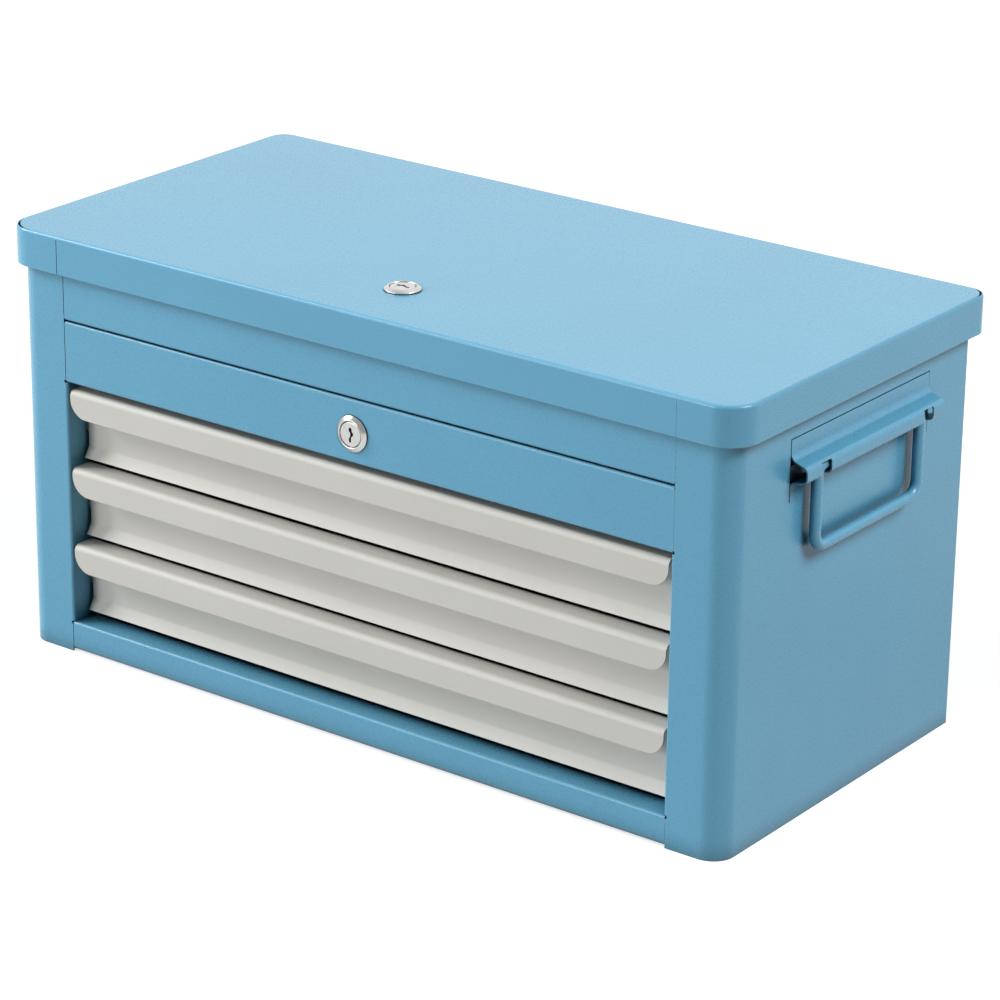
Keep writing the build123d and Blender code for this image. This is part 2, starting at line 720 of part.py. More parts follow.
def lock_bar_guides():
    """Straps on the rear wall that hold the lock bar and let it slide up and down."""
    strap_front = bar_front_y - slide_clearance - sheet
    inner_half = lock_bar_width / 2 + slide_clearance
    outer_half = inner_half + sheet
    straps = []
    for number in (1, 2):
        low_z = finger_low_z(number) + finger_rise + lock_bar_lift + 2
        z_range = (low_z, low_z + guide_height)
        strap = block((-outer_half, outer_half), (strap_front, inner_back_y), z_range)
        hollow_z = (low_z - 1, low_z + guide_height + 1)
        strap -= block((-inner_half, inner_half), (strap_front + sheet, inner_back_y + 1), hollow_z)
        for sign in (-1, 1):
            foot_x = (sign * inner_half, sign * (outer_half + 9))
            strap += block(foot_x, (inner_back_y - sheet, inner_back_y), z_range)
        straps.append(strap.solid())
    return Compound(children=straps)


# ---------------------------------------------------------------- bail handle
def bail():
    """Round-rod bail hanging from the hump; both ends turn inward along the pivot axis.

    Each lower bend is drawn as one slanting run that touches the arc of the bend at its middle."""
    near_y = handle_y - bail_span / 2
    far_y = handle_y + bail_span / 2
    low_z = bail_pivot_z - bail_drop
    cut = bail_corner * (2 - sqrt(2))
    route = Polyline(
        (near_y + bail_end, bail_pivot_z),
        (near_y, bail_pivot_z),
        (near_y, low_z + cut),
        (near_y + cut, low_z),
        (far_y - cut, low_z),
        (far_y, low_z + cut),
        (far_y, bail_pivot_z),
        (far_y - bail_end, bail_pivot_z),
    )
    path = Plane.YZ.offset(half_width + bail_pivot_out) * route
    start = Plane(origin=path @ 0, z_dir=path % 0)
    return sweep(start * Circle(bail_rod / 2), path=path, transition=Transition.RIGHT)


# ---------------------------------------------------------------- assembly
nodes = {
    "back_panel": back_panel(),
    "floor_pan": floor_pan(),
    "bottom_rail": bottom_rail(),
    "lock_rail": lock_rail(),
    "upper_fascia": upper_fascia(),
    "well_floor": well_floor(),
    "strike_plate": strike_plate(),
    "lid_shell": lid_shell(),
    "hinge_rivets": hinge_rivets(),
    "drive_rod": drive_rod_piece(),
    "rod_bearing": rod_bearing(),
    "lock_bar": lock_bar(),
    "lock_bar_guides": lock_bar_guides(),
}
nodes |= both_sides(side_panel, "side_panel")
nodes |= both_sides(inner_panel, "inner_panel")
nodes |= both_sides(hinge_body_leaf, "hinge_body_leaf")
nodes |= both_sides(hinge_lid_leaf, "hinge_lid_leaf")
nodes |= both_sides(hinge_pin_piece, "hinge_pin")
nodes |= both_sides(bail, "bail")

for number in range(1, drawer_count + 1):
    nodes[f"drawer_{number}_front"] = drawer_front(number)
    nodes[f"drawer_{number}_box"] = drawer_box(number)
    nodes[f"drawer_{number}_catch"] = drawer_catch(number)
    nodes |= both_sides(lambda: runner(number), f"runner_{number}")
    nodes |= both_sides(lambda: drawer_rail(number), f"drawer_{number}_rail")

for kind in ("front", "top"):
    place = lock_plane(kind).location
    nodes[f"{kind}_lock_barrel"] = place * lock_barrel()
    nodes[f"{kind}_lock_plug"] = place * lock_plug()
    nodes[f"{kind}_lock_nut"] = place * lock_nut()
nodes["top_lock_tongue"] = lock_plane("top").location * lock_tongue()
nodes["top_lock_screw"] = lock_plane("top").location * lock_screw()

for name, shape in nodes.items():
    export_step(shape, f"parts/{name}.step")
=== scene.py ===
from math import asin, ceil, cos, degrees, pi, radians, sin

import bmesh
import bpy
import numpy as np
from mathutils import Matrix, Vector
from mathutils.geometry import tessellate_polygon


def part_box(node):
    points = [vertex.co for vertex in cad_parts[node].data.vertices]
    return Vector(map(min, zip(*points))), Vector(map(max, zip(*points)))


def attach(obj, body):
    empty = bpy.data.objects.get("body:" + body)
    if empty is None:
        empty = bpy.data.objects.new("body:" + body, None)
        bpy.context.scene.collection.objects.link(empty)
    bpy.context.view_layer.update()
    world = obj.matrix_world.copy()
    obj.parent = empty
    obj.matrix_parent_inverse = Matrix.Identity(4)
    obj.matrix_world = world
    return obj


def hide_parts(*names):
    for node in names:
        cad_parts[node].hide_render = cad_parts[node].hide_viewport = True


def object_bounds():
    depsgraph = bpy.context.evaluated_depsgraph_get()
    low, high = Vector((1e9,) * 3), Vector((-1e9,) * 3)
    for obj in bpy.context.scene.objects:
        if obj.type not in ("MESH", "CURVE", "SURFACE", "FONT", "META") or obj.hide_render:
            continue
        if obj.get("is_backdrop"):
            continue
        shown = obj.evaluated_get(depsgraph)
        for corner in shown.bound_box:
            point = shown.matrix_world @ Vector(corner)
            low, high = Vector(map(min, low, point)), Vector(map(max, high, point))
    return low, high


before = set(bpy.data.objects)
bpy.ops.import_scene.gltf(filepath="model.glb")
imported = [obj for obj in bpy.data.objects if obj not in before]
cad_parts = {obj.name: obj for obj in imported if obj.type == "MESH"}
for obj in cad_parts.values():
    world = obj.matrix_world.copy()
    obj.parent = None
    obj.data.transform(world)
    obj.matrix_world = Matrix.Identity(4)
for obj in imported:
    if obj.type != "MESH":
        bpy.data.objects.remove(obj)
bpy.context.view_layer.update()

mm = 0.001

# ---------------------------------------------------------------- studio
# A long lens looks at the box from its right front and a little above.
# The floor is pale paper that reads as white and keeps the soft shadow of the box.
camera_azimuth = radians(36.58)
camera_elevation = radians(21.21)
camera_roll = radians(0.72)
camera_place = Vector((1.36086, -1.8166, 1.00186))
lens_mm = 139.64
floor_reach = 12.0
soft_box_side = 1.8
soft_box_distance = 4.5
soft_box_aim = Vector((0, 0, 0.14))


def aimed_camera():
    """The camera stands out along the direction of azimuth and elevation, looks back along it, and is
    rolled about that line: its three axes are the columns of its matrix."""
    back = Vector((
        sin(camera_azimuth) * cos(camera_elevation),
        -cos(camera_azimuth) * cos(camera_elevation),
        sin(camera_elevation),
    ))
    right = Vector((cos(camera_azimuth), sin(camera_azimuth), 0))
    up = back.cross(right)
    turned_right = right * cos(camera_roll) + up * sin(camera_roll)
    turned_up = up * cos(camera_roll) - right * sin(camera_roll)
    turn = Matrix((turned_right, turned_up, back)).transposed()
    data = bpy.data.cameras.new("studio_camera")
    data.lens = lens_mm
    camera = bpy.data.objects.new("studio_camera", data)
    camera.matrix_world = Matrix.Translation(camera_place) @ turn.to_4x4()
    bpy.context.scene.collection.objects.link(camera)
    bpy.context.scene.camera = camera


def hex_linear(code):
    """Linear colour of an sRGB hex value: each channel over 255, then the sRGB curve undone; alpha is 1."""
    channels = [int(code[i:i + 2], 16) / 255 for i in (1, 3, 5)]
    return tuple(c / 12.92 if c <= 0.04045 else ((c + 0.055) / 1.055) ** 2.4 for c in channels) + (1.0,)


def add_node(tree, kind, values=None, **settings):
    """Adds one node; `values` fills its inputs, and an output socket given as a value is linked instead."""
    node = tree.nodes.new(kind)
    for name, value in settings.items():
        setattr(node, name, value)
    for key, value in (values or {}).items():
        if isinstance(value, bpy.types.NodeSocket):
            tree.links.new(value, node.inputs[key])
        else:
            node.inputs[key].default_value = value
    return node


def empty_material(name):
    """A new material whose default nodes are taken out."""
    material = bpy.data.materials.new(name)
    material.use_nodes = True
    material.node_tree.nodes.clear()
    return material


def seen_directly(tree):
    """1 where the camera, a mirror reflection or a clear pane looks at the surface, otherwise 0."""
    path = add_node(tree, "ShaderNodeLightPath")
    some = add_node(tree, "ShaderNodeMath", operation="MAXIMUM",
                    values={0: path.outputs["Is Camera Ray"], 1: path.outputs["Is Glossy Ray"]})
    return add_node(tree, "ShaderNodeMath", operation="MAXIMUM",
                    values={0: some.outputs[0], 1: path.outputs["Is Transmission Ray"]}).outputs[0]


def paper_floor():
    """Flat square of studio paper; it glows a little to the camera, so that it reads as white."""
    mesh = bpy.data.meshes.new("studio_floor")
    corners = [Vector((x, y, 0)) * floor_reach for x, y in ((-1, -1), (1, -1), (1, 1), (-1, 1))]
    mesh.from_pydata(corners, [], [(0, 1, 2, 3)])
    material = empty_material("studio_paper")
    tree = material.node_tree
    paper = add_node(tree, "ShaderNodeBsdfDiffuse", {"Color": hex_linear("#8C8C8C")})
    seen = add_node(tree, "ShaderNodeBsdfDiffuse", {"Color": hex_linear("#BEBEBE")})
    glow = add_node(tree, "ShaderNodeEmission", {"Color": hex_linear("#FFFFFF"), "Strength": 0.7})
    both = add_node(tree, "ShaderNodeAddShader", {0: seen.outputs[0], 1: glow.outputs[0]})
    mix = add_node(tree, "ShaderNodeMixShader",
                   {0: seen_directly(tree), 1: paper.outputs[0], 2: both.outputs[0]})
    add_node(tree, "ShaderNodeOutputMaterial", {"Surface": mix.outputs[0]})
    mesh.materials.append(material)
    floor = bpy.data.objects.new("studio_floor", mesh)
    bpy.context.scene.collection.objects.link(floor)
    floor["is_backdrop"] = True


def soft_box(name, azimuth, elevation, watts):
    """Square area lamp aimed at the box; azimuth runs from the drawer side towards the right side."""
    azimuth = radians(azimuth)
    elevation = radians(elevation)
    out = Vector((sin(azimuth) * cos(elevation), -cos(azimuth) * cos(elevation), sin(elevation)))
    lamp = bpy.data.lights.new(name, "AREA")
    lamp.shape = "SQUARE"
    lamp.size = soft_box_side
    lamp.energy = watts
    box = bpy.data.objects.new(name, lamp)
    box.location = soft_box_aim + soft_box_distance * out
    box.rotation_euler = out.to_track_quat("Z", "Y").to_euler()
    bpy.context.scene.collection.objects.link(box)


def studio_light():
    """White backdrop where the camera looks, a dimmer room on the drawer side as polished metal mirrors it,
    and three soft boxes: low in front, higher at the left and highest at the right."""
    world = bpy.data.worlds.new("studio_surround")
    bpy.context.scene.world = world
    world.use_nodes = True
    tree = world.node_tree
    tree.nodes.clear()
    heading = add_node(tree, "ShaderNodeTexCoord").outputs["Generated"]
    axes = add_node(tree, "ShaderNodeSeparateXYZ", {0: heading})
    room = add_node(tree, "ShaderNodeMapRange", {
        "Value": axes.outputs["Y"], "From Min": -0.6, "From Max": 0.2, "To Min": 0.4, "To Max": 1.0,
    })
    camera = add_node(tree, "ShaderNodeLightPath").outputs["Is Camera Ray"]
    shown = add_node(tree, "ShaderNodeMath", {0: room.outputs[0], 1: camera}, operation="MAXIMUM")
    level = add_node(tree, "ShaderNodeMapRange", {
        "Value": seen_directly(tree), "To Min": 0.03, "To Max": 1.3,
    })
    strength = add_node(tree, "ShaderNodeMath", {0: level.outputs[0], 1: shown.outputs[0]},
                        operation="MULTIPLY")
    surround = add_node(tree, "ShaderNodeBackground",
                        {"Color": hex_linear("#FFFFFF"), "Strength": strength.outputs[0]})
    add_node(tree, "ShaderNodeOutputWorld", {"Surface": surround.outputs[0]})
    soft_box("front_box", azimuth=-22, elevation=12, watts=77.0)
    soft_box("left_box", azimuth=-62, elevation=32, watts=142.0)
    soft_box("right_box", azimuth=100, elevation=45, watts=146.0)


aimed_camera()
paper_floor()
studio_light()
bpy.context.scene.view_settings.view_transform = "Standard"

# ---------------------------------------------------------------- body sheets
# Side panels, rear wall, rails, fascias, floor, well floor and liners: 1 mm cold-rolled steel, sheared and
# folded, spot welded, then sprayed with polyester powder that melts into a skin with a fine pebbled grain.
# The strike angle of the lid lock and the body leaves of the hinges are coated with them.
sheet_thickness = 1.0 * mm
drift_spacing = 90 * mm
mottle_spacing = 2.2 * mm
speck_spacing = 0.9 * mm
pebble_height = 0.025 * mm
# Reach of the painted shade that darkens seams and narrow gaps.
seam_shade_reach = 1.2 * mm
# Folded edges are painted paler, towards this colour and within this radius: a painted highlight.
highlight_edge_radius = 0.9 * mm
painted_highlight_colour = "#EDF3F6"
sheared_edge_radius = 0.25 * mm
blue_sheets = [
    "side_panel_left", "side_panel_right", "back_panel", "floor_pan", "bottom_rail", "lock_rail",
    "upper_fascia", "well_floor", "inner_panel_left", "inner_panel_right", "strike_plate",
    "hinge_body_leaf_left", "hinge_body_leaf_right",
]
# The values of a noise pattern lie mostly in this range.
noise_range = {"From Min": 0.3, "From Max": 0.7}


def powder_coat(name, colour, grain, sheen_roughness, corner_shade_reach, unshaded_openness):
    """Polyester powder coat: a satin skin (IOR 1.5) whose pebbled grain breaks highlights into specks.
    Its tone drifts a little over a panel. Folded edges are painted paler as a highlight, where the coat also
    pulls thin; corners, seams and the panel under overhangs are painted darker as shade."""
    material = empty_material(name)
    tree = material.node_tree
    place = add_node(tree, "ShaderNodeTexCoord").outputs["Object"]
    drift = add_node(tree, "ShaderNodeTexNoise", {"Vector": place, "Scale": 1 / drift_spacing})
    mottle = add_node(tree, "ShaderNodeTexNoise", {"Vector": place, "Scale": 1 / mottle_spacing, "Detail": 3})
    speck = add_node(tree, "ShaderNodeTexNoise", {"Vector": place, "Scale": 1 / speck_spacing, "Detail": 1})
    pebble = add_node(tree, "ShaderNodeTexNoise", {"Vector": place, "Scale": 1 / grain, "Roughness": 0.6})

    # Tone: the slow drift times the fine mottle.
    tone = add_node(tree, "ShaderNodeMapRange", {
        **noise_range, "Value": drift.outputs["Fac"], "To Min": 0.975, "To Max": 1.02,
    })
    fine = add_node(tree, "ShaderNodeMapRange", {
        **noise_range, "Value": mottle.outputs["Fac"], "To Min": 0.99, "To Max": 1.01,
    })
    even = add_node(tree, "ShaderNodeMath", {0: tone.outputs[0], 1: fine.outputs[0]}, operation="MULTIPLY")

    # Corners, seams and the panel under overhangs: painted shade, darker the less open the place within two
    # reaches.
    corner = add_node(tree, "ShaderNodeAmbientOcclusion", {"Distance": corner_shade_reach}, samples=6)
    painted_corner_shade = add_node(tree, "ShaderNodeMapRange", {
        "Value": corner.outputs["AO"], "From Min": 0.08, "From Max": unshaded_openness,
        "To Min": 0.15, "To Max": 1.0,
    })
    crack = add_node(tree, "ShaderNodeAmbientOcclusion", {"Distance": seam_shade_reach}, samples=6)
    painted_seam_shade = add_node(tree, "ShaderNodeMapRange", {
        "Value": crack.outputs["AO"], "From Min": 0.3, "From Max": 0.85, "To Min": 0.06, "To Max": 1.0,
    })
    painted_shade = add_node(tree, "ShaderNodeMath", {0: painted_corner_shade.outputs[0], 1: painted_seam_shade.outputs[0]}, operation="MULTIPLY")
    shade = add_node(tree, "ShaderNodeMath", {0: even.outputs[0], 1: painted_shade.outputs[0]}, operation="MULTIPLY")
    body = add_node(tree, "ShaderNodeVectorMath", {0: hex_linear(colour)[:3]}, operation="SCALE")
    tree.links.new(shade.outputs[0], body.inputs["Scale"])

    # Folded edges: where the rounded normal leaves the true one, the colour is painted paler, a painted
    # highlight where the coat also pulls thin; seams with painted shade get none.
    geometry = add_node(tree, "ShaderNodeNewGeometry")
    round_edge = add_node(tree, "ShaderNodeBevel", {"Radius": highlight_edge_radius}, samples=4)
    along = add_node(tree, "ShaderNodeVectorMath", {0: geometry.outputs["Normal"], 1: round_edge.outputs[0]},
                     operation="DOT_PRODUCT")
    edge = add_node(tree, "ShaderNodeMapRange", {
        "Value": along.outputs["Value"], "From Min": 0.99, "From Max": 0.8, "To Min": 0.0, "To Max": 0.12,
    })
    painted_edge_highlight = add_node(tree, "ShaderNodeMath", {0: edge.outputs[0], 1: painted_seam_shade.outputs[0]}, operation="MULTIPLY")
    # Inputs 4 and 5 of a mix node are the two vectors that it goes between.
    pale = add_node(tree, "ShaderNodeMix", data_type="VECTOR",
                    values={0: painted_edge_highlight.outputs[0], 4: body.outputs[0], 5: hex_linear(painted_highlight_colour)[:3]})

    # Sheen: it varies in specks, over the bump of the pebbled grain.
    gloss = add_node(tree, "ShaderNodeMapRange", {
        **noise_range, "Value": speck.outputs["Fac"],
        "To Min": sheen_roughness - 0.02, "To Max": sheen_roughness + 0.03,
    })
    bump = add_node(tree, "ShaderNodeBump", {
        "Strength": 0.12, "Distance": pebble_height, "Height": pebble.outputs["Fac"],
    })
    skin = add_node(tree, "ShaderNodeBsdfPrincipled", {
        "Base Color": pale.outputs[1],
        "Roughness": gloss.outputs[0], "IOR": 1.5, "Normal": bump.outputs[0],
    })
    add_node(tree, "ShaderNodeOutputMaterial", {"Surface": skin.outputs[0]})
    return material


def paint_node(node, material):
    """Puts one material in every slot of a node."""
    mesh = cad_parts[node].data
    if not mesh.materials:
        mesh.materials.append(material)
    for index in range(len(mesh.materials)):
        mesh.materials[index] = material


def ease_edges(node, width=sheared_edge_radius):
    """Joins the facets of a node, rounds its sheared edges and lets its bends shade as curves."""
    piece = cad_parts[node]
    piece.data.polygons.foreach_set("use_smooth", np.ones(len(piece.data.polygons), bool))
    weld = piece.modifiers.new("weld", "WELD")
    weld.merge_threshold = 0.002 * mm
    flats = piece.modifiers.new("flats", "DECIMATE")
    flats.decimate_type = "DISSOLVE"
    flats.angle_limit = radians(0.4)
    bevel = piece.modifiers.new("sheared_edge", "BEVEL")
    bevel.width = width
    bevel.segments = 2
    bevel.limit_method = "ANGLE"
    bevel.angle_limit = radians(32)
    bevel.miter_outer = "MITER_ARC"
    bevel.use_clamp_overlap = True
    normals = piece.modifiers.new("flat_faces", "WEIGHTED_NORMAL")
    normals.weight = 100
    normals.keep_sharp = False


# The blue coat paints shade into corners, seams and under overhangs out to 14 mm.
blue_paint = powder_coat("blue_powder_coat", "#66B0D2", grain=1.3 * mm, sheen_roughness=0.28,
                         corner_shade_reach=14 * mm, unshaded_openness=0.95)
for sheet in blue_sheets:
    paint_node(sheet, blue_paint)
    ease_edges(sheet)

# ---------------------------------------------------------------- lid
# One sheet with a folded skirt and rolled corners, in the same blue coat.
# The hinge leaves are welded inside it and coated with it.
for sheet in ("lid_shell", "hinge_lid_leaf_left", "hinge_lid_leaf_right"):
    paint_node(sheet, blue_paint)
    ease_edges(sheet)

# ---------------------------------------------------------------- drawers
# Fronts and boxes folded from the same sheet; the top of each front folds over into its flap pull.
# Their light grey coat has a warm cast and a softer sheen than the blue one.
# The grey coat's painted shade in corners reaches only 6.5 mm.
grey_paint = powder_coat("grey_powder_coat", "#DBDAD3", grain=1.6 * mm, sheen_roughness=0.45,
                         corner_shade_reach=6.5 * mm, unshaded_openness=0.62)
drawer_numbers = (1, 2, 3)
for number in drawer_numbers:
    for part in ("front", "box"):
        paint_node(f"drawer_{number}_{part}", grey_paint)
        ease_edges(f"drawer_{number}_{part}")

# ---------------------------------------------------------------- slides, catches and locking gear
# Runners, rails, catches, the locking bar and its rod: pressed steel with bright zinc plate.
# The nuts, the tongue with its screw and the hinge pins have the same plate.
pressed_edge_radius = 0.12 * mm
mark_height = 0.02 * mm
zinc_pieces = ["drive_rod", "rod_bearing", "lock_bar", "lock_bar_guides", "top_lock_tongue", "top_lock_screw",
               "front_lock_nut", "top_lock_nut", "hinge_pin_left", "hinge_pin_right"]
for number in drawer_numbers:
    zinc_pieces.append(f"drawer_{number}_catch")
    for side in ("left", "right"):
        zinc_pieces += [f"runner_{number}_{side}", f"drawer_{number}_rail_{side}"]


def plated_metal(name, colour, roughness, cloud_spacing, groove_shade_reach):
    """Electroplated metal: a mirror-like skin over fine drawing marks, with faint cloudy passivation;
    grooves and corners are painted darker, as shade. The real marks are finer: here
    twelve of them go to a cloud, which is as fine as shows."""
    material = empty_material(name)
    tree = material.node_tree
    mark_spacing = cloud_spacing / 12
    place = add_node(tree, "ShaderNodeTexCoord").outputs["Object"]
    cloud = add_node(tree, "ShaderNodeTexNoise", {"Vector": place, "Scale": 1 / cloud_spacing, "Detail": 3})
    marks = add_node(tree, "ShaderNodeTexNoise", {"Vector": place, "Scale": 1 / mark_spacing})
    tone = add_node(tree, "ShaderNodeMapRange", {
        **noise_range, "Value": cloud.outputs["Fac"], "To Min": 0.92, "To Max": 1.03,
    })
    # Painted shade: the less open a place within the groove reach, the darker the plate.
    open_share = add_node(tree, "ShaderNodeAmbientOcclusion", {"Distance": groove_shade_reach}, samples=8)
    painted_groove_shade = add_node(tree, "ShaderNodeMapRange", {
        "Value": open_share.outputs["AO"], "From Min": 0.35, "From Max": 0.85,
        "To Min": 0.12, "To Max": 1.0,
    })
    shade = add_node(tree, "ShaderNodeMath", {0: tone.outputs[0], 1: painted_groove_shade.outputs[0]}, operation="MULTIPLY")
    body = add_node(tree, "ShaderNodeVectorMath", {0: hex_linear(colour)[:3]}, operation="SCALE")
    tree.links.new(shade.outputs[0], body.inputs["Scale"])
    dull = add_node(tree, "ShaderNodeMapRange", {
        **noise_range, "Value": marks.outputs["Fac"],
        "To Min": roughness * 0.8, "To Max": roughness * 1.3,
    })
    bump = add_node(tree, "ShaderNodeBump", {
        "Strength": 0.12, "Distance": mark_height, "Height": marks.outputs["Fac"],
    })
    skin = add_node(tree, "ShaderNodeBsdfPrincipled", {
        "Base Color": body.outputs[0], "Metallic": 1.0,
        "Roughness": dull.outputs[0], "Normal": bump.outputs[0],
    })
    add_node(tree, "ShaderNodeOutputMaterial", {"Surface": skin.outputs[0]})
    return material


zinc_plate = plated_metal("bright_zinc_plate", "#C3C5C7", roughness=0.32, cloud_spacing=6 * mm,
                          groove_shade_reach=2.0 * mm)
for piece in zinc_pieces:
    paint_node(piece, zinc_plate)
    ease_edges(piece, pressed_edge_radius)

# ---------------------------------------------------------------- hinge rivets
# Round-head steel rivets, zinc plated: a domed head outside the leaf, a shank, and an upset tail
# inside the wall.
rivet_head_radius = 3.2 * mm
rivet_head_height = 1.6 * mm
rivet_dome_radius = (rivet_head_radius ** 2 + rivet_head_height ** 2) / (2 * rivet_head_height)
rivet_dome_start = degrees(asin(1 - rivet_head_height / rivet_dome_radius))
rivet_shank_radius = 1.6 * mm
rivet_tail_radius = 2.4 * mm
rivet_tail_flat = 1.92 * mm
rivet_tail_round = 0.4 * mm
rivet_spacing = 36 * mm
rivet_sides = 24
leaf_thickness = 1.2 * mm


def grid_mesh(name, points, closed_u=False, closed_v=False):
    """Mesh of a grid of points (rows u, columns v): each cell is a quad; a closed direction joins up."""
    rows, columns = points.shape[:2]
    u = np.arange(rows if closed_u else rows - 1)
    v = np.arange(columns if closed_v else columns - 1)
    u, v = (grid.ravel() for grid in np.meshgrid(u, v, indexing="ij"))
    next_u = (u + 1) % rows
    next_v = (v + 1) % columns
    rings = [u * columns + v, next_u * columns + v, next_u * columns + next_v, u * columns + next_v]
    quads = np.stack(rings, 1)
    mesh = bpy.data.meshes.new(name)
    mesh.from_pydata(points.reshape(-1, 3).tolist(), [], quads.tolist())
    mesh.polygons.foreach_set("use_smooth", np.ones(len(mesh.polygons), bool))
    mesh.update()
    return mesh


def merged(name, meshes):
    """One mesh of several, with doubled points joined and all faces turned outwards."""
    work = bmesh.new()
    for mesh in meshes:
        work.from_mesh(mesh)
        bpy.data.meshes.remove(mesh)
    bmesh.ops.remove_doubles(work, verts=work.verts, dist=0.001 * mm)
    bmesh.ops.dissolve_degenerate(work, edges=work.edges, dist=0.0005 * mm)
    bmesh.ops.recalc_face_normals(work, faces=work.faces)
    whole = bpy.data.meshes.new(name)
    work.to_mesh(whole)
    work.free()
    return whole


def add_piece(name, meshes, material, body, plain_node):
    """Puts meshes in the scene as one piece, which rides on a body and takes the place of a plain node."""
    mesh = merged(name, meshes)
    mesh.materials.append(material)
    piece = bpy.data.objects.new(name, mesh)
    bpy.context.scene.collection.objects.link(piece)
    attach(piece, body)
    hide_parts(plain_node)
    return piece


def swept_ring(profile, around):
    """Grid of points: every (radius, height) of the profile carried once round the axis."""
    angle = np.linspace(0, 2 * pi, around, endpoint=False)
    radius = np.repeat(profile[:, :1], around, 1)
    return np.stack([radius * np.cos(angle), radius * np.sin(angle), np.repeat(profile[:, 1:], around, 1)], 2)


def placed(points, origin, right, up, out):
    """Points of a turned part drawn lying flat (right, up, out of the panel), set against its panel."""
    return np.array(origin) + points @ np.array([right, up, out], float)


def arc_points(centre, radius, start, end, count):
    """Points (radius, height) on an arc in the profile plane, from one angle in degrees to another."""
    angle = np.radians(np.linspace(start, end, count))
    return np.array(centre) + radius * np.column_stack([np.cos(angle), np.sin(angle)])


leaf_low, leaf_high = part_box("hinge_rivets")
wall_back_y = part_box("back_panel")[1].y
leaf_outer_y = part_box("hinge_body_leaf_right")[0].y + leaf_thickness
rivet_z = (leaf_low.z + leaf_high.z) / 2
outer_rivet_x = leaf_high.x - rivet_head_radius
tail_y = leaf_low.y - leaf_outer_y
wall_inner_y = wall_back_y - sheet_thickness - leaf_outer_y
dome_centre = (0, rivet_head_height - rivet_dome_radius)
tail_and_shank = [
    (0, tail_y),
    (rivet_tail_flat, tail_y),
    (rivet_tail_radius, tail_y + rivet_tail_round),
    (rivet_tail_radius, wall_inner_y),
    (rivet_shank_radius, wall_inner_y),
    (rivet_shank_radius, 0),
]
dome = arc_points(dome_centre, rivet_dome_radius, rivet_dome_start, end=90, count=8)
rivet_points = swept_ring(np.vstack([tail_and_shank, dome]), rivet_sides)
rivets = []
for sign in (-1, 1):
    for x in (outer_rivet_x, outer_rivet_x - rivet_spacing):
        set_points = placed(rivet_points, origin=(sign * x, leaf_outer_y, rivet_z),
                            right=(1, 0, 0), up=(0, 0, -1), out=(0, 1, 0))
        rivets.append(grid_mesh("rivet", set_points, closed_v=True))
add_piece("hinge_rivets_domed", rivets, zinc_plate, "case", "hinge_rivets")

# ---------------------------------------------------------------- cam locks
# Die-cast zinc barrels, turned and polished, then nickel and chrome plated; the threaded shank passes through
# the panel and takes a nut. The plug sits in the mouth of its barrel, with a crooked keyway broached down
# the middle of its face.
bezel_radius = 11.5 * mm
bezel_height = 2.5 * mm
crest_radius = 9.2 * mm
shank_radius = 9.3 * mm
shank_length = 16.0 * mm
plug_radius = 7.85 * mm
mouth_radius = 8.15 * mm
bore_radius = 6.05 * mm
plug_shank_radius = 6.0 * mm
plug_seat = 0.9 * mm
plug_face = 2.05 * mm
plug_rear = -shank_length - 0.2 * mm
plug_sides = 64
# The rounded rim of the plug's face, in mm: how far in from its radius and how far below its face.
plug_rim = [(0.0, 0.35), (0.15, 0.1), (0.4, 0.0), (1.2, 0.0)]
edge_round = 0.5 * mm
edge_break = 0.1 * mm
shoulder_height = 0.7 * mm
mouth_lip = 0.3 * mm
thread_start = 1.2 * mm
thread_runout = 0.4 * mm
thread_pitch = 1.5 * mm
thread_depth = 0.55 * mm
thread_levels = 96
barrel_sides = 96
stub_half = 3.0 * mm
stub_length = 2.0 * mm
stub_edge = 0.4 * mm
keyway_depth = 4.0 * mm
dust_spacing = 0.7 * mm
# The keyway in mm, seen from outside: down its right side from the upper end, then back up the left side.
keyway_corners = [(0.3, 4.4), (1.1, 3.2), (1.0, 2.0), (2.2, 0.9), (2.1, -0.4), (0.6, -2.0), (0.6, -5.0),
                  (-0.8, -5.2), (-1.2, -3.0), (-0.1, -1.2), (0.0, 0.8), (-1.3, 2.2), (-1.1, 4.0)]


def barrel_mesh(place):
    """Closed outline turned round the lock's axis; on the shank the radius also follows a saw-tooth helix,
    one tooth for each pitch, which cuts the thread."""
    mouth = [
        (bore_radius, -shank_length),
        (bore_radius, plug_seat),
        (mouth_radius, plug_seat),
        (mouth_radius, bezel_height - edge_round),
        (mouth_radius + mouth_lip, bezel_height - edge_break),
    ]
    crest_centre = (crest_radius - edge_round, bezel_height - edge_round)
    crest = arc_points(crest_centre, edge_round, start=90, end=50, count=4)
    shoulder_centre = (bezel_radius - edge_round, shoulder_height)
    shoulder = arc_points(shoulder_centre, edge_round, start=48, end=4, count=4)
    foot = [(bezel_radius - edge_break, 0), (shank_radius, 0)]
    outline = np.vstack([mouth, crest, shoulder, foot])
    thread_z = np.linspace(-thread_start, -shank_length + thread_runout, thread_levels)
    thread = np.column_stack([np.full(thread_levels, shank_radius), thread_z])
    profile = np.vstack([outline, thread, [(shank_radius - thread_depth, -shank_length)]])
    points = swept_ring(profile, barrel_sides)
    turn = np.arange(barrel_sides) / barrel_sides
    phase = (thread_z[:, None] / thread_pitch - turn) % 1
    threaded = slice(len(outline), len(outline) + thread_levels)
    cut = 1 - thread_depth * np.abs(2 * phase - 1) / shank_radius
    points[threaded, :, :2] *= cut[:, :, None]
    return grid_mesh("barrel", placed(points, **place), closed_u=True, closed_v=True)


